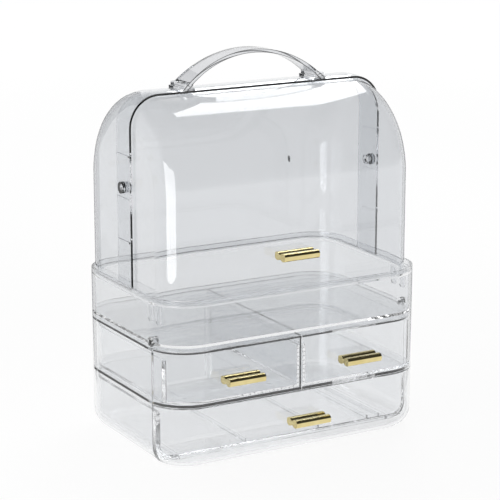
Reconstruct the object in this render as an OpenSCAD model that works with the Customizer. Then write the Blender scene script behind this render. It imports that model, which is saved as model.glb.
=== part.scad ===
// Clear cosmetics organizer: a drawer housing with three sliding drawers, an open tray on top of it,
// and a domed cover made of a fixed rear shell and a front shell that flips up on two side pivots.
// Origin: centre of the underside. The drawer fronts face -Y, +X is to the right seen from the front.

/* [Body] */
// overall width of the tray and the drawer housing, side to side
body_width = 280; // [270:1:300]
// overall depth of the tray and the drawer housing, without the pulls
body_depth = 184; // [180:1:190]
// plan radius of the four upright corners
corner_radius = 39; // [34:1:42]
// wall thickness of the housing, the tray and the drawer fronts
wall = 2.6; // [2.2:0.1:3.2]
// height of the drawer housing
housing_height = 112.8; // [109:0.2:118]
// radius of the housing's bottom edge, all the way round
bottom_radius = 22; // [20:0.5:24]
// radius of the lower drawer front's bottom edge
front_bottom_radius = 18; // [12:0.5:22]
// height at which the lower front ends and the upper fronts begin
row_split = 59.4; // [57:0.2:62]
// seam between neighbouring fronts
seam = 0.8; // [0.4:0.1:1.2]

/* [Tray] */
// height of the tray rim above the ground
rim_height = 160; // [157:0.5:165]
// depth of the step below the rim on which the two shells stand
ledge_drop = 4; // [3:0.5:6]
// width of that step, measured from the inner face of the tray wall
ledge_width = 9; // [8:0.5:11]
// top face of the tray floor above the ground
tray_floor_top = 118.8; // [117:0.2:125]
// Y position of the front one of the two tabs that hang from the step on either side
tab_y = -62; // [-64:1:-58]
// distance between the two tabs
tab_pitch = 16; // [12:1:24]
// distance from the outer face of the body to a tab's outer face
tab_inset = 7.6; // [6:0.2:9]
// width of a tab along Y
tab_width = 8; // [6:0.5:10]
// how far the tabs reach down from the step
tab_height = 19; // [14:1:24]
// Y position of the two round bosses on the inside of the side walls
boss_y = -57; // [-60:1:-50]

/* [Drawers] */
// distance from the outer face of the body to the outer face of an upper drawer's side wall
drawer_inset = 6.8; // [5:0.2:9]
// thickness of the upper drawers' side walls and floors
drawer_wall = 2.2; // [1.8:0.1:2.8]
// the same distance for the lower drawer
lower_inset = 4.6; // [4.4:0.1:6]
// thickness of the lower drawer's walls and floor
lower_wall = 3.4; // [2.6:0.1:4]
// radius of the bottom edge of the lower drawer's box
lower_box_radius = 15; // [14:0.5:17]
// top face of the lower drawer's floor above the ground
lower_floor_top = 9; // [8.6:0.2:11]
// height of the lower front's underside above the ground
front_foot = 0.6; // [0.4:0.1:1]
// top edge of the lower drawer's walls
lower_wall_top = 53; // [45:0.5:55]
// top edge of the upper drawers' walls
upper_wall_top = 104; // [95:0.5:106]
// X positions of the low ribs on the lower drawer's floor
floor_rib_x = [-44.5, 35.5, 91, 104]; // [-110:0.5:110]

/* [Dome] */
// height of the pivot axis above the ground
pivot_height = 249; // [245:0.5:253]
// Y position of the pivot axis
pivot_y = 1.5; // [0:0.5:2]
// outer radius of the rear shell about the pivot axis
shell_radius = 86.5; // [85:0.1:87]
// half width of the rear shell
shell_half_width = 134.5; // [132:0.1:135]
// radius of the rear shell's rounded side edges
shell_edge = 30; // [29.5:0.5:32]
// wall thickness of both shells
shell_wall = 2; // [1.8:0.1:2.4]
// gap between the flip-up shell and the rear shell
shell_gap = 0.8; // [0.5:0.1:1]
// Y position of the rear shell's front edge
shell_front_y = -12; // [-16:0.5:-8]
// Y position of the flip-up shell's rear edge
door_rear_y = 18; // [14:0.5:22]
// height of the lowest band rib above the ground
band_rib_z = 199; // [190:1:205]
// distance between neighbouring band ribs
band_rib_pitch = 40; // [30:1:42]
// height of the small round gate nub on the flip-up shell above the pivot axis
nub_rise = 28.6; // [10:0.2:40]

/* [Handle] */
// top of the handle above the ground
handle_top = 367.5; // [362:0.5:376]
// X position of the middle of the handle
handle_x = -3.5; // [-6:0.5:6]
// distance between the middles of the two handle feet
handle_span = 140; // [130:1:150]
// height of the arch above its two ends
handle_rise = 27; // [24:1:28]
// thickness of the handle strap
handle_thickness = 3.4; // [2.6:0.1:4]
// depth of the strap at its ends
handle_end_depth = 27; // [22:1:27]
// depth of the strap at its middle
handle_mid_depth = 20; // [16:1:22]
// width of a handle foot
foot_width = 9; // [8:0.5:14]

/* [Pulls] */
// length of a pull along X
pull_length = 37; // [32:1:44]
// distance a pull stands out from its front
pull_depth = 18; // [14:1:20]
// height of a pull
pull_height = 7.6; // [6:0.2:9]
// width of the groove between the two bars of a pull
pull_groove = 2; // [1:0.2:3]
// X positions of the upper left, the upper right, the lower and the door pull
pull_x = [-67, 58, 2.7, -5]; // [-75:0.1:75]
// height of the upper pulls above the ground
upper_pull_z = 84.6; // [80:0.2:90]
// height of the lower pull above the ground
lower_pull_z = 33.4; // [28:0.2:38]
// height of the door pull above the ground
door_pull_z = 190; // [182:1:195]

/* [Hidden] */
$fn = 96;
eps = 0.01;
overlap = 1;
big = 400;
half_w = body_width / 2;
half_d = body_depth / 2;
wrap_y = -60.5;
wrap_gap = 0.4;
front_gap = 0.6;
top_plate_t = 2.6;
shelf_z = row_split + 0.6;
shelf_t = 2.6;
divider_t = 2.4;
tray_floor_t = 2.6;
ledge_z = rim_height - ledge_drop;
shell_foot_z = ledge_z;
door_foot_z = ledge_z + 0.3;
door_radius = shell_radius - shell_wall - shell_gap;
door_half_width = shell_half_width - shell_wall - shell_gap;
door_edge = shell_edge - shell_wall;
flange_t = 2.2;
upper_floor_top = shelf_z + shelf_t + 1 + drawer_wall;
lower_z = lower_floor_top - lower_wall;
divider_gap = 0.8;
rail_gap = 0.3;
rail_w = 3;
rail_in = 20;
rail_end = 46;
floor_rib_t = 1.6;
floor_rib_h = 3;
floor_rib_end = 42;
pin_r = 3;
pin_play = 0.06;
pin_head_r = 5.5;
pin_head_t = 3;
pin_tail_r = 4.6;
pin_tail_t = 2;
pin_tail_gap = 0.3;
rib_t = 1.6;
rib_h = 1.1;
rib_margin = 1;
rib_length = 24;
tab_t = 1.8;
tab_r = 3;
boss_r = 4.8;
boss_length = 6;
boss_z = tray_floor_top - 0.6;
stud_r = 2.2;
corner_reach = 20;
foot_play = 0.2;
nub_r = 1.8;
nub_h = 0.5;
foot_sink = 8;
base_margin = 2;
base_h = 1.5;
pull_r = 3;
pull_web = 0.56;

// Rounded rectangle, centred, made of plain squares and circles.
module round_rect(w, d, r) {
    square([w - 2 * r, d], center = true);
    square([w, d - 2 * r], center = true);
    for (sx = [-1, 1])
        for (sy = [-1, 1])
            translate([sx * (w / 2 - r), sy * (d / 2 - r)])
                circle(r);
}

// Plan outline of the body, drawn in by a margin.
module plan(inset) {
    round_rect(body_width - 2 * inset, body_depth - 2 * inset, corner_radius - inset);
}

module slab(z0, z1) {
    translate([0, 0, z0])
        linear_extrude(z1 - z0)
            children();
}

// Everything behind (side = 1) or in front of (side = -1) the plane Y = y.
module y_side(y, side) {
    translate([-big / 2, side > 0 ? y : y - big, -1])
        cube([big, big, big + 2]);
}

// Section from the middle out to a wall at w, with a rounded bottom corner.
module half_section(w, z0, z1, r) {
    translate([0, z0])
        square([w - r, z1 - z0]);
    translate([0, z0 + r])
        square([w, z1 - z0 - r]);
    translate([w - r, z0 + r])
        intersection() {
            circle(r);
            translate([-overlap, -r - overlap])
                square(r + 2 * overlap);
        }
}

// Solid tub with the same rounding along the whole of its bottom edge. The half width is w, the rear face is
// at Y = d, the plan corners have radius c. Ends [0] is straight from Y = y0 back to two rear corners, [0, 1]
// has four corners.
module tub(w, d, c, y0, z0, z1, r, ends) {
    translate([0, d - c, 0])
        rotate([90, 0, 0])
            linear_extrude(d - c - y0)
                for (s = [0, 1])
                    mirror([s, 0])
                        half_section(w, z0, z1, r);
    translate([c - w, 0, 0])
        rotate([90, 0, 90])
            linear_extrude(2 * (w - c))
                for (t = ends)
                    mirror([t, 0])
                        half_section(d, z0, z1, r);
    for (s = [0, 1])
        for (t = ends)
            mirror([s, 0, 0])
                mirror([0, t, 0])
                    translate([w - c, d - c, 0])
                        rotate_extrude(angle = 90)
                            half_section(c, z0, z1, r);
}

// Body form, drawn in by a margin, with rounded corners and bottom edges on all sides.
module body_form(inset, z0, z1, r) {
    c = corner_radius - inset;
    d = half_d - inset;
    tub(half_w - inset, d, c, c - d, z0, z1, r, [0, 1]);
}

// Flat plate inside the housing that stops short of the drawer fronts.
module inner_plate(z0, t) {
    intersection() {
        slab(z0, z0 + t)
            plan(wall);
        y_side(wrap_y, 1);
    }
    slab(z0, z0 + t)
        plan(wall + front_gap);
}

module drawer_housing() {
    color([0.85, 0.88, 0.9, 0.35])
        difference() {
            intersection() {
                body_form(0, 0, housing_height, bottom_radius);
                y_side(wrap_y, 1);
            }
            body_form(wall, wall, housing_height + 1, bottom_radius - wall);
        }
}

module housing_top_plate() {
    color([0.85, 0.88, 0.9, 0.35])
        inner_plate(housing_height - top_plate_t, top_plate_t);
}

module drawer_shelf() {
    color([0.85, 0.88, 0.9, 0.35])
        inner_plate(shelf_z, shelf_t);
}

module centre_divider() {
    z0 = shelf_z + shelf_t;
    y0 = -half_d + wall + front_gap;
    color([0.85, 0.88, 0.9, 0.35])
        translate([-divider_t / 2, y0, z0])
            cube([divider_t, body_depth - 2 * wall - front_gap, housing_height - top_plate_t - z0]);
}

// Tabs with rounded lower corners that hang from the step, two on either side.
module step_tabs() {
    for (s = [0, 1])
        mirror([s, 0, 0])
            for (y = [tab_y, tab_y + tab_pitch])
                translate([half_w - tab_inset - tab_t, y, ledge_z - wall - tab_height / 2])
                    rotate([90, 0, 90])
                        linear_extrude(tab_t) {
                            round_rect(tab_width, tab_height, tab_r);
                            translate([-tab_width / 2, 0])
                                square([tab_width, tab_height / 2 + wall / 2]);
                        }
}

// Round bosses on the inside of the side walls; hollow is the bore for the studs.
module wall_bosses(r) {
    for (s = [0, 1])
        mirror([s, 0, 0])
            translate([half_w - wall - boss_length, boss_y, boss_z])
                rotate([0, 90, 0])
                    cylinder(r = r, h = boss_length);
}

module cosmetics_tray() {
    color([0.85, 0.88, 0.9, 0.35])
        difference() {
            union() {
                difference() {
                    slab(housing_height + 0.2, rim_height)
                        plan(0);
                    slab(tray_floor_top, ledge_z - wall)
                        plan(wall);
                    slab(ledge_z - wall - eps, ledge_z + eps)
                        plan(wall + ledge_width);
                    slab(ledge_z, rim_height + 1)
                        plan(wall);
                    slab(housing_height, tray_floor_top - tray_floor_t)
                        plan(wall);
                }
                step_tabs();
                wall_bosses(boss_r);
            }
            wall_bosses(stud_r);
        }
}

// Section through a shell, radius along X and width along Y, rounded at the two outer corners.
module shell_section(radius, half_width, edge) {
    translate([0, -half_width])
        square([radius - edge, 2 * half_width]);
    translate([0, -half_width + edge])
        square([radius, 2 * (half_width - edge)]);
    for (s = [-1, 1])
        translate([radius - edge, s * (half_width - edge)])
            circle(edge);
}

// Solid dome form: half a turn about the pivot axis above it, a rounded block below it.
module dome_form(radius, half_width, edge, z0) {
    translate([0, pivot_y, pivot_height])
        rotate([90, 0, 90])
            rotate_extrude(angle = 180)
                shell_section(radius, half_width, edge);
    translate([0, pivot_y, 0])
        slab(z0, pivot_height)
            round_rect(2 * half_width, 2 * radius, edge);
}

module dome_skin(radius, half_width, edge, z0) {
    difference() {
        dome_form(radius, half_width, edge, z0);
        dome_form(radius - shell_wall, half_width - shell_wall, edge - shell_wall, z0 - 1);
    }
}

module pivot_hole(r) {
    translate([-big / 2, pivot_y, pivot_height])
        rotate([0, 90, 0])
            cylinder(r = r, h = big);
}

module band_ribs() {
    for (s = [-1, 1])
        for (k = [0, 1, 2])
            translate([s * shell_half_width, shell_front_y + rib_margin + rib_length / 2, band_rib_z + k * band_rib_pitch])
                cube([2 * rib_h, rib_length, rib_t], center = true);
}

module rear_shell() {
    color([0.85, 0.88, 0.9, 0.35]) {
        difference() {
            intersection() {
                dome_skin(shell_radius, shell_half_width, shell_edge, shell_foot_z);
                y_side(shell_front_y, 1);
            }
            pivot_hole(pin_r);
        }
        band_ribs();
    }
}

module flip_up_shell() {
    color([0.85, 0.88, 0.9, 0.35]) {
        difference() {
            intersection() {
                dome_skin(door_radius, door_half_width, door_edge, door_foot_z);
                y_side(door_rear_y, -1);
            }
            pivot_hole(pin_r + pin_play);
            // rounded lower rear corners, so that they clear the ledge while the shell swings
            difference() {
                translate([-big / 2, pivot_y, door_foot_z - 1])
                    cube([big, big / 2, corner_reach]);
                pivot_hole(pivot_height - door_foot_z - foot_play);
            }
        }
        // low round nub on the front, in the middle above the pull
        translate([pull_x[3], pivot_y, pivot_height])
            rotate([90 - asin(nub_rise / door_radius), 0, 0])
                translate([0, 0, door_radius - shell_wall / 2])
                    cylinder(r = nub_r, h = shell_wall / 2 + nub_h);
    }
}

module pivot_pin(side) {
    x_in = door_half_width - shell_wall - pin_tail_gap - pin_tail_t;
    x_out = shell_half_width + pin_head_t;
    color([0.9, 0.92, 0.94, 0.6])
        translate([0, pivot_y, pivot_height])
            rotate([0, side * 90, 0]) {
                translate([0, 0, x_in])
                    cylinder(r = pin_r, h = x_out - x_in);
                translate([0, 0, x_in])
                    cylinder(r = pin_tail_r, h = pin_tail_t);
                translate([0, 0, shell_half_width])
                    cylinder(r = pin_head_r, h = pin_head_t);
            }
}

module left_pivot_pin() {
    pivot_pin(-1);
}

module right_pivot_pin() {
    pivot_pin(1);
}

// Arched strap: a ring sector seen from the front, waisted in plan, on two feet.
module carry_handle() {
    end_z = handle_top - handle_rise;
    dome_top = pivot_height + shell_radius;
    r_out = (pow(handle_span / 2, 2) + pow(handle_rise, 2)) / (2 * handle_rise);
    waist = (handle_end_depth - handle_mid_depth) / 2;
    waist_r = (pow(handle_span / 2, 2) + pow(waist, 2)) / (2 * waist);
    base_w = foot_width + 2 * base_margin;
    color([0.85, 0.88, 0.9, 0.35])
        difference() {
            translate([handle_x, pivot_y, 0]) {
                intersection() {
                    translate([0, handle_end_depth / 2, handle_top - r_out])
                        rotate([90, 0, 0])
                            linear_extrude(handle_end_depth)
                                difference() {
                                    circle(r_out, $fn = 240);
                                    circle(r_out - handle_thickness, $fn = 240);
                                }
                    slab(end_z - handle_thickness, handle_top + 1)
                        difference() {
                            square([handle_span + foot_width, handle_end_depth], center = true);
                            for (s = [-1, 1])
                                translate([0, s * (handle_mid_depth / 2 + waist_r)])
                                    circle(waist_r, $fn = 360);
                        }
                }
                for (s = [-1, 1])
                    translate([s * handle_span / 2, -handle_end_depth / 2, dome_top]) {
                        translate([-foot_width / 2, 0, -foot_sink])
                            cube([foot_width, handle_end_depth, end_z - dome_top + foot_sink]);
                        translate([-base_w / 2, 0, -foot_sink])
                            cube([base_w, handle_end_depth, foot_sink + base_h]);
                    }
            }
            dome_form(shell_radius, shell_half_width, shell_edge, shell_foot_z);
        }
}

module locating_studs() {
    color([0.9, 0.92, 0.94, 0.6])
        wall_bosses(stud_r);
}

// Finger pull seen from the side: two rounded bars with a groove between them.
module pull_bar(x, y, z) {
    bar = (pull_depth - pull_groove) / 2;
    color([0.83, 0.68, 0.32])
        translate([x - pull_length / 2, y, z])
            rotate([90, 0, 90])
                linear_extrude(pull_length) {
                    for (k = [0, 1])
                        translate([-bar / 2 - k * (bar + pull_groove), 0])
                            round_rect(bar, pull_height, pull_r);
                    translate([-pull_depth / 2, 0])
                        square([pull_depth / 2, pull_height * pull_web], center = true);
                }
}

module door_pull() {
    pull_bar(pull_x[3], pivot_y - door_radius, door_pull_z);
}

module lower_pull() {
    pull_bar(pull_x[2], -half_d, lower_pull_z);
}

module upper_left_pull() {
    pull_bar(pull_x[0], -half_d, upper_pull_z);
}

module upper_right_pull() {
    pull_bar(pull_x[1], -half_d, upper_pull_z);
}

// Plan outline of an upper drawer box; extra is the wall taken off to get its inside.
module box_plan(extra) {
    intersection() {
        plan(drawer_inset + extra);
        translate([-half_w, -half_d / 2])
            square([body_width, body_depth]);
    }
    intersection() {
        plan(wall);
        translate([-(half_w - drawer_inset - extra), -half_d])
            square([body_width - 2 * (drawer_inset + extra), half_d]);
    }
}

// Front of an upper drawer, wrapped round the front corners of the body.
module front_panel(z0, z1) {
    intersection() {
        slab(z0, z1)
            difference() {
                plan(0);
                plan(wall);
            }
        y_side(wrap_y - wrap_gap, -1);
    }
}

// Two runners under a drawer floor.
module runners(x_lo, x_hi, y0, z0, z1) {
    for (x = [x_lo + rail_in, x_hi - rail_in - rail_w])
        translate([x, y0, z0 + rail_gap])
            cube([rail_w, rail_end - y0, z1 - z0 - rail_gap + eps]);
}

module drawer_box(z_under, floor_top, wall_top, x_lo, x_hi) {
    intersection() {
        difference() {
            slab(floor_top - drawer_wall, wall_top)
                box_plan(0);
            slab(floor_top, wall_top + 1)
                intersection() {
                    box_plan(drawer_wall);
                    translate([x_lo + drawer_wall, -half_d])
                        square([x_hi - x_lo - 2 * drawer_wall, body_depth]);
                }
        }
        translate([x_lo, -half_d, 0])
            cube([x_hi - x_lo, body_depth, big]);
    }
    runners(x_lo, x_hi, rail_in - half_d, z_under, floor_top - drawer_wall);
}

// Box of the lower drawer, solid, drawn in by extra.
module lower_box(extra, y0, z1) {
    inset = lower_inset + extra;
    tub(half_w - inset, half_d - inset, corner_radius - inset, y0, lower_z + extra, z1, lower_box_radius - extra,
        [0]);
}

// The lower drawer's front is a hollow cap with a rounded bottom lip; a flange joins it to the box behind it.
module lower_drawer() {
    y_cap = wrap_y - wrap_gap;
    y_box = y_cap - flange_t;
    w = half_w - lower_inset;
    color([0.85, 0.88, 0.9, 0.35]) {
        difference() {
            union() {
                difference() {
                    intersection() {
                        body_form(0, front_foot, row_split - seam / 2, front_bottom_radius);
                        y_side(y_cap, -1);
                    }
                    body_form(wall, front_foot + wall, row_split, front_bottom_radius - wall);
                }
                intersection() {
                    body_form(wall / 2, front_foot + wall / 2, lower_wall_top, front_bottom_radius - wall / 2);
                    translate([-half_w, y_box, 0])
                        cube([body_width, flange_t, big]);
                }
                lower_box(0, y_box, lower_wall_top);
            }
            lower_box(lower_wall, y_box - 1, lower_wall_top + 1);
        }
        runners(-w, w, y_cap - flange_t / 2, wall, lower_z);
        for (x = floor_rib_x)
            translate([x - floor_rib_t / 2, y_box, lower_floor_top - eps])
                cube([floor_rib_t, floor_rib_end - y_box, floor_rib_h]);
    }
}

module upper_drawer() {
    x_lo = divider_t / 2 + divider_gap;
    w = half_w - drawer_inset;
    color([0.85, 0.88, 0.9, 0.35]) {
        intersection() {
            front_panel(row_split + seam / 2, housing_height - 0.2);
            translate([seam / 2, -half_d, 0])
                cube([half_w, body_depth, big]);
        }
        drawer_box(shelf_z + shelf_t, upper_floor_top, upper_wall_top, x_lo, w);
    }
}

module upper_right_drawer() {
    upper_drawer();
}

module upper_left_drawer() {
    mirror([1, 0, 0])
        upper_drawer();
}

drawer_housing();
housing_top_plate();
drawer_shelf();
centre_divider();
cosmetics_tray();
rear_shell();
left_pivot_pin();
right_pivot_pin();
carry_handle();
locating_studs();
flip_up_shell();
door_pull();
lower_drawer();
lower_pull();
upper_left_drawer();
upper_left_pull();
upper_right_drawer();
upper_right_pull();
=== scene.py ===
import math

import bpy
from mathutils import Matrix, Vector

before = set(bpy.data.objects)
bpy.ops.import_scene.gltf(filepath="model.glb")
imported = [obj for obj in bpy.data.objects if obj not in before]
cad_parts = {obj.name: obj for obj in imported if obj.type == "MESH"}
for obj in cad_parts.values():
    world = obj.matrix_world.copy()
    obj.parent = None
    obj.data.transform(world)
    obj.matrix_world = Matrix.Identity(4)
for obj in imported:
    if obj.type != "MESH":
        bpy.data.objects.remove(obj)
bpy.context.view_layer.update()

WHITE = (1.0, 1.0, 1.0, 1.0)
UP = (0.0, 0.0, 1.0)

# Camera, fitted to the photograph's edges
CAMERA_AZIMUTH = 29.8
CAMERA_ELEVATION = 14.0
CAMERA_DISTANCE = 1.8446
CAMERA_TARGET = Vector((-0.0025, 0.0, 0.1742))
CAMERA_CLIP = (0.05, 50.0)
FOCAL_PIXELS = 1939.0
FRAME_PIXELS = 500.0
SENSOR = 36.0

# Clear plastics: tint seen straight on, tint seen edge on, roughness and strength of the moulding's ripple
CLEAR_LOOKS = {
    "clear_shell": ((0.832, 0.842, 0.856), (0.48, 0.51, 0.54), 0.012, 0.05),
    "clear_tray": ((0.873, 0.88, 0.889), (0.55, 0.58, 0.60), 0.015, 0.05),
    "clear_housing": ((0.936, 0.941, 0.947), (0.58, 0.60, 0.62), 0.02, 0.08),
    "clear_plate": ((0.91, 0.916, 0.923), (0.60, 0.63, 0.65), 0.02, 0.05),
    "clear_drawer": ((0.934, 0.939, 0.945), (0.58, 0.60, 0.62), 0.015, 0.06),
    "clear_handle": ((0.72, 0.73, 0.75), (0.22, 0.24, 0.26), 0.02, 0.04),
    "clear_pin": ((0.85, 0.86, 0.87), (0.55, 0.57, 0.58), 0.05, 0.1),
}
ACRYLIC_IOR = 1.49
# Blend of the facing measure, and the values of it between which the tint turns to that of the edges
FACING_BLEND = 0.22
FACING_RANGE = (0.36, 0.82)
# Noise scale and ramp places of the roughness, with its least and greatest share
GLOSS_SCALE = 38.0
GLOSS_RANGE = (0.35, 0.7)
GLOSS_SHARES = (0.6, 1.5)
# Noise scale, detail and depth of the ripple
RIPPLE_SCALE = 14.0
RIPPLE_DETAIL = 1.0
RIPPLE_DEPTH = 0.0006

# Gold plating: two tones in slow patches, and fine lines along the bar that vary the roughness
GOLD_TONES = [(0.3, (0.72, 0.60, 0.28)), (0.7, (0.79, 0.68, 0.36))]
GOLD_TONE_SCALE = 90.0
GOLD_LINE_SCALE = (30.0, 900.0, 900.0)
GOLD_LINE_DETAIL = 3.0
GOLD_ROUGHNESS = [(0.3, 0.025), (0.75, 0.06)]
GOLD_LINE_STRENGTH = 0.12
GOLD_LINE_DEPTH = 0.0001

# Middle and half sizes of a painted dark mark on the flip-up shell: painted shade standing in for the shaded
# side of its small nub
PAINTED_NUB_SHADE = (-0.0061, -0.0776, 0.2764)
PAINTED_NUB_SHADE_HALF = (0.0010, 0.0040, 0.0037)
PAINTED_NUB_SHADE_LEVELS = [(0.75, 0.10), (1.0, 1.0)]

# The handle's strap: centre of its arch, middle radius, half thickness, half depth at its middle,
# how much that grows with the distance from the middle squared, and the width of its painted dark edge lines
# (painted shade)
STRAP_CENTRE = (-0.0035, 0.0015, 0.26326)
STRAP_RADIUS = 0.10254
STRAP_HALF_THICKNESS = 0.0017
STRAP_HALF_DEPTH = 0.010
STRAP_WIDENING = 0.0035 / 0.070**2
STRAP_PAINTED_LINE_WIDTH = 0.0006
STRAP_PAINTED_SHADE_LEVELS = [(0.35, 0.06), (0.6, 1.0)]

NODE_MATERIALS = {
    "drawer_housing": "clear_housing",
    "housing_top_plate": "clear_plate",
    "drawer_shelf": "clear_plate",
    "centre_divider": "clear_plate",
    "cosmetics_tray": "clear_tray",
    "rear_shell": "clear_shell",
    "flip_up_shell": "clear_shell",
    "left_pivot_pin": "clear_pin",
    "right_pivot_pin": "clear_pin",
    "locating_studs": "clear_pin",
    "carry_handle": "clear_handle",
    "lower_drawer": "clear_drawer",
    "upper_left_drawer": "clear_drawer",
    "upper_right_drawer": "clear_drawer",
    "door_pull": "gold_plated",
    "lower_pull": "gold_plated",
    "upper_left_pull": "gold_plated",
    "upper_right_pull": "gold_plated",
}

# Sky brightness from straight down (0) over the horizon (0.5) to straight up (1), behind the object and in
# front of it, and where front (0) turns to behind (1)
BACKDROP_SKY = [(0.0, 1.0), (0.72, 1.0), (0.86, 0.16), (1.0, 0.12)]
ROOM_SKY = [(0.0, 1.0), (0.47, 0.9), (0.53, 0.25), (0.60, 0.05)]
ROOM_TO_BACKDROP = [(0.45, 0.0), (0.6, 1.0)]

# Black cards on either side of the object, behind it as the camera sees it
FLAG_SHADE = 0.03
FLAG_OFFSETS = {"flag_left": -0.26, "flag_right": 0.26}
FLAG_NEAR = 0.06
FLAG_FAR = 0.8
FLAG_HEIGHT = 0.6

# Floor: half its side, how far it lies below the object, its matt share and its glow by distance from the object
FLOOR_HALF = 12.0
FLOOR_DROP = 0.0005
FLOOR_MATT = 0.12
FLOOR_GLOW = [(0.15, 0.93), (0.7, 0.975)]
FLOOR_GLOW_PER_METRE = 0.3

# Enough for the long way of light inside the walls, which otherwise ends in black strokes along the edges
LIGHT_BOUNCES = 160


def direction(azimuth, elevation):
    """Unit vector from the object towards a point in front and to the left, as the camera is."""
    a = math.radians(azimuth)
    e = math.radians(elevation)
    return Vector((-math.sin(a) * math.cos(e), -math.cos(a) * math.cos(e), math.sin(e)))


def aim(obj, target, along=UP):
    """Turn an object's -Z axis to the target, with its Y axis as near as can be to a given direction."""
    back = (obj.location - target).normalized()
    side = Vector(along).cross(back).normalized()
    turn = Matrix((side, back.cross(side), back)).transposed()
    obj.rotation_euler = turn.to_euler()


def add_to_scene(name, data):
    obj = bpy.data.objects.new(name, data)
    bpy.context.scene.collection.objects.link(obj)
    return obj


def add_rectangle(name, corners, material):
    mesh = bpy.data.meshes.new(name)
    mesh.from_pydata(corners, [], [(0, 1, 2, 3)])
    mesh.materials.append(material)
    return add_to_scene(name, mesh)


def add_camera():
    data = bpy.data.cameras.new("camera")
    data.sensor_width = SENSOR
    data.lens = SENSOR * FOCAL_PIXELS / FRAME_PIXELS
    data.clip_start, data.clip_end = CAMERA_CLIP
    camera = add_to_scene("camera", data)
    camera.location = CAMERA_TARGET + CAMERA_DISTANCE * direction(CAMERA_AZIMUTH, CAMERA_ELEVATION)
    aim(camera, CAMERA_TARGET)
    bpy.context.scene.camera = camera


def grey(level):
    return (level, level, level, 1.0)


class Tree:
    """A material's or world's node tree, with short calls to add and link nodes."""

    def __init__(self, owner):
        owner.use_nodes = True
        self.nodes = owner.node_tree.nodes
        self.links = owner.node_tree.links
        self.nodes.clear()

    def set_socket(self, socket, value):
        if isinstance(value, bpy.types.NodeSocket):
            self.links.new(value, socket)
        else:
            socket.default_value = value

    def add(self, kind, **sockets):
        """Add a node. Its sockets are named with _ for a space, and get a value or a link."""
        node = self.nodes.new(kind)
        for name, value in sockets.items():
            self.set_socket(node.inputs[name.replace("_", " ")], value)
        return node

    def maths(self, operation, *values):
        node = self.nodes.new("ShaderNodeMath")
        node.operation = operation
        for socket, value in zip(node.inputs, values):
            self.set_socket(socket, value)
        return node.outputs[0]

    def length(self, vector):
        node = self.nodes.new("ShaderNodeVectorMath")
        node.operation = "LENGTH"
        self.links.new(vector, node.inputs[0])
        return node.outputs["Value"]

    def separate(self, vector):
        node = self.nodes.new("ShaderNodeSeparateXYZ")
        self.links.new(vector, node.inputs[0])
        return node.outputs

    def ramp(self, factor, stops):
        """Colour ramp. A stop is a place and a colour, or a place and a level of grey."""
        node = self.add("ShaderNodeValToRGB", Fac=factor)
        painted_shade = node.color_ramp.elements
        while len(painted_shade) < len(stops):
            painted_shade.new(0.5)
        for mark, (place, colour) in zip(painted_shade, stops):
            mark.position = place
            mark.color = grey(colour) if isinstance(colour, float) else (*colour, 1.0)
        return node.outputs["Color"]

    def mix(self, factor, first, second, blend="MIX"):
        node = self.nodes.new("ShaderNodeMix")
        node.data_type = "RGBA"
        node.blend_type = blend
        for name, value in (("Factor", factor), ("A", first), ("B", second)):
            self.set_socket(node.inputs[name], value)
        return node.outputs["Result"]

    def own_place(self):
        """The object's own coordinates, in metres."""
        return self.add("ShaderNodeTexCoord").outputs["Object"]

    def place_from(self, centre, unit=(1.0, 1.0, 1.0)):
        """The object's own coordinates, measured from a centre and in a unit for each axis."""
        node = self.nodes.new("ShaderNodeMapping")
        node.vector_type = "TEXTURE"
        for name, value in (("Location", centre), ("Scale", unit), ("Vector", self.own_place())):
            self.set_socket(node.inputs[name], value)
        return node.outputs["Vector"]

    def noise(self, scale, detail=2.0, vector=None):
        if vector is None:
            vector = self.own_place()
        return self.add("ShaderNodeTexNoise", Scale=scale, Detail=detail, Vector=vector).outputs["Fac"]


def painted_nub_shade(tree):
    """Painted shade for the flip-up shell's small nub: dark inside a small upright ellipse, white elsewhere."""
    return tree.ramp(tree.length(tree.place_from(PAINTED_NUB_SHADE, PAINTED_NUB_SHADE_HALF)), PAINTED_NUB_SHADE_LEVELS)


def painted_strap_edge_shade(tree):
    """Painted shade: dark along the four long edges of the handle's clear strap, where its edges look dark,
    white elsewhere.
    """
    place = tree.separate(tree.place_from(STRAP_CENTRE))
    along = tree.maths("MULTIPLY", place["X"], place["X"])
    up = tree.maths("MULTIPLY", place["Z"], place["Z"])
    radius = tree.maths("SQRT", tree.maths("ADD", along, up))
    across = tree.maths("ABSOLUTE", place["Y"])
    half_depth = tree.maths("ADD", tree.maths("MULTIPLY", along, STRAP_WIDENING), STRAP_HALF_DEPTH)
    from_side = tree.maths("SUBTRACT", half_depth, across)
    off_middle = tree.maths("ABSOLUTE", tree.maths("SUBTRACT", radius, STRAP_RADIUS))
    from_face = tree.maths("ABSOLUTE", tree.maths("SUBTRACT", STRAP_HALF_THICKNESS, off_middle))
    from_edge = tree.maths("MAXIMUM", from_side, from_face)
    return tree.ramp(tree.maths("MULTIPLY", from_edge, 0.5 / STRAP_PAINTED_LINE_WIDTH), STRAP_PAINTED_SHADE_LEVELS)


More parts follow.
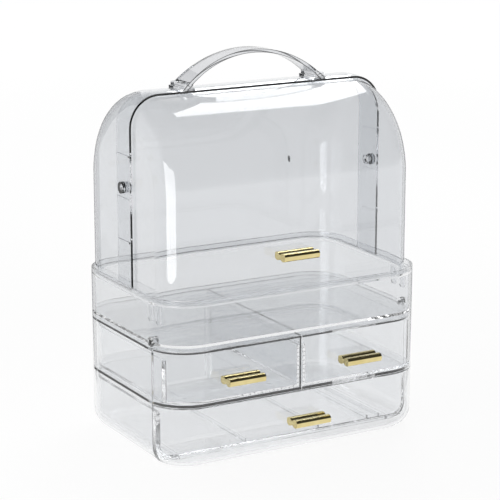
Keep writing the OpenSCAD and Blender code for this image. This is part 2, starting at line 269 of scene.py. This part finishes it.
def clear_plastic(name, tint, edge_tint, roughness, ripple, painted_shade=None):
    """Polished clear plastic: faint ripple of the moulding, darker where it is seen edge on, and darkened by
    painted shade where that is given.
    """
    material = bpy.data.materials.new(name)
    tree = Tree(material)
    facing = tree.add("ShaderNodeLayerWeight", Blend=FACING_BLEND).outputs["Facing"]
    colour = tree.ramp(facing, [(0.0, tint), (FACING_RANGE[0], tint), (FACING_RANGE[1], edge_tint)])
    # Painted shade: the nub's dark mark and the strap's dark edge lines darken the tint
    if painted_shade:
        colour = tree.mix(1.0, colour, painted_shade(tree), "MULTIPLY")
    levels = [roughness * share for share in GLOSS_SHARES]
    gloss = tree.ramp(tree.noise(GLOSS_SCALE), list(zip(GLOSS_RANGE, levels)))
    waves = tree.noise(RIPPLE_SCALE, RIPPLE_DETAIL)
    bump = tree.add("ShaderNodeBump", Strength=ripple, Distance=RIPPLE_DEPTH, Height=waves)
    shader = tree.add(
        "ShaderNodeBsdfPrincipled",
        Base_Color=colour,
        Roughness=gloss,
        IOR=ACRYLIC_IOR,
        Transmission_Weight=1.0,
        Normal=bump.outputs["Normal"],
    )
    tree.add("ShaderNodeOutputMaterial", Surface=shader.outputs["BSDF"])
    return material


def polished_gold(name):
    """Gold plating: mirror bright, with fine lines along the bar and a slightly deeper tone in places."""
    material = bpy.data.materials.new(name)
    tree = Tree(material)
    stretch = tree.add("ShaderNodeMapping", Scale=GOLD_LINE_SCALE, Vector=tree.own_place())
    lines = tree.noise(1.0, GOLD_LINE_DETAIL, stretch.outputs["Vector"])
    bump = tree.add("ShaderNodeBump", Strength=GOLD_LINE_STRENGTH, Distance=GOLD_LINE_DEPTH, Height=lines)
    shader = tree.add(
        "ShaderNodeBsdfPrincipled",
        Base_Color=tree.ramp(tree.noise(GOLD_TONE_SCALE), GOLD_TONES),
        Metallic=1.0,
        Roughness=tree.ramp(lines, GOLD_ROUGHNESS),
        Normal=bump.outputs["Normal"],
    )
    tree.add("ShaderNodeOutputMaterial", Surface=shader.outputs["BSDF"])
    return material


def add_materials():
    # Painted shade masks for the shells' nub and the handle strap's edges
    painted_shade = {"clear_shell": painted_nub_shade, "clear_handle": painted_strap_edge_shade}
    materials = {name: clear_plastic(name, *look, painted_shade.get(name)) for name, look in CLEAR_LOOKS.items()}
    materials["gold_plated"] = polished_gold("gold_plated")
    for node_name, material_name in NODE_MATERIALS.items():
        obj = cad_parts[node_name]
        obj.data.materials.clear()
        obj.data.materials.append(materials[material_name])


def add_world():
    """White to the camera. To all other rays white behind the object, and dark in front of it and overhead."""
    world = bpy.data.worlds.new("studio")
    bpy.context.scene.world = world
    tree = Tree(world)
    towards = tree.separate(tree.add("ShaderNodeTexCoord").outputs["Generated"])
    height = tree.maths("MULTIPLY_ADD", towards["Z"], 0.5, 0.5)
    depth = tree.maths("MULTIPLY_ADD", towards["Y"], 0.5, 0.5)
    behind = tree.ramp(depth, ROOM_TO_BACKDROP)
    sky = tree.mix(behind, tree.ramp(height, ROOM_SKY), tree.ramp(height, BACKDROP_SKY))
    to_camera = tree.add("ShaderNodeLightPath").outputs["Is Camera Ray"]
    shade = tree.add("ShaderNodeBackground", Strength=1.0, Color=tree.mix(to_camera, sky, WHITE))
    tree.add("ShaderNodeOutputWorld", Surface=shade.outputs[0])


def add_lamp(name, size, radiance, place, target, along=UP):
    data = bpy.data.lights.new(name, "AREA")
    data.shape = "RECTANGLE"
    data.size, data.size_y = size
    data.energy = radiance * math.pi * data.size * data.size_y
    lamp = add_to_scene(name, data)
    lamp.location = place
    aim(lamp, Vector(target), along)


def add_lights():
    """A long strip behind and above, mirrored in the dome's top, and a low one on the left, in its corners."""
    add_lamp("top_strip", (0.28, 1.22), 3.6, (0.65, 0.635, 1.145), (0.0, -0.02, 0.325), (-0.06, -0.81, 0.58))
    add_lamp("left_strip", (0.46, 0.50), 4.0, (-0.73, -0.30, 0.25), (0.0, -0.05, 0.25))


def add_floor():
    material = bpy.data.materials.new("floor")
    tree = Tree(material)
    away = tree.maths("MULTIPLY", tree.length(tree.own_place()), FLOOR_GLOW_PER_METRE)
    matt = tree.add("ShaderNodeBsdfDiffuse", Color=grey(FLOOR_MATT))
    glow = tree.add("ShaderNodeEmission", Color=tree.ramp(away, FLOOR_GLOW), Strength=1.0)
    total = tree.add("ShaderNodeAddShader")
    tree.links.new(matt.outputs[0], total.inputs[0])
    tree.links.new(glow.outputs[0], total.inputs[1])
    tree.add("ShaderNodeOutputMaterial", Surface=total.outputs[0])
    corners = [(x * FLOOR_HALF, y * FLOOR_HALF, 0.0) for x, y in ((-1, -1), (1, -1), (1, 1), (-1, 1))]
    floor = add_rectangle("floor", corners, material)
    floor.location.z = -FLOOR_DROP


def add_flags():
    """Black cards on either side, as for photographing glass: only mirror reflections see them."""
    material = bpy.data.materials.new("flag")
    tree = Tree(material)
    shade = tree.add("ShaderNodeEmission", Color=grey(FLAG_SHADE), Strength=1.0)
    tree.add("ShaderNodeOutputMaterial", Surface=shade.outputs[0])
    back = -direction(CAMERA_AZIMUTH, 0.0)
    side = Vector((back.y, -back.x, 0.0))
    rise = FLAG_HEIGHT * Vector(UP)
    for name, offset in FLAG_OFFSETS.items():
        near = side * offset + back * FLAG_NEAR
        far = side * offset + back * FLAG_FAR
        flag = add_rectangle(name, [near, far, far + rise, near + rise], material)
        flag.visible_camera = False
        flag.visible_diffuse = False
        flag.visible_transmission = False
        flag.visible_shadow = False


def set_scene():
    scene = bpy.context.scene
    scene.view_settings.view_transform = "Standard"
    scene.cycles.max_bounces = LIGHT_BOUNCES
    scene.cycles.transmission_bounces = LIGHT_BOUNCES
    scene.cycles.glossy_bounces = LIGHT_BOUNCES


add_camera()
add_materials()
add_world()
add_lights()
add_floor()
add_flags()
set_scene()
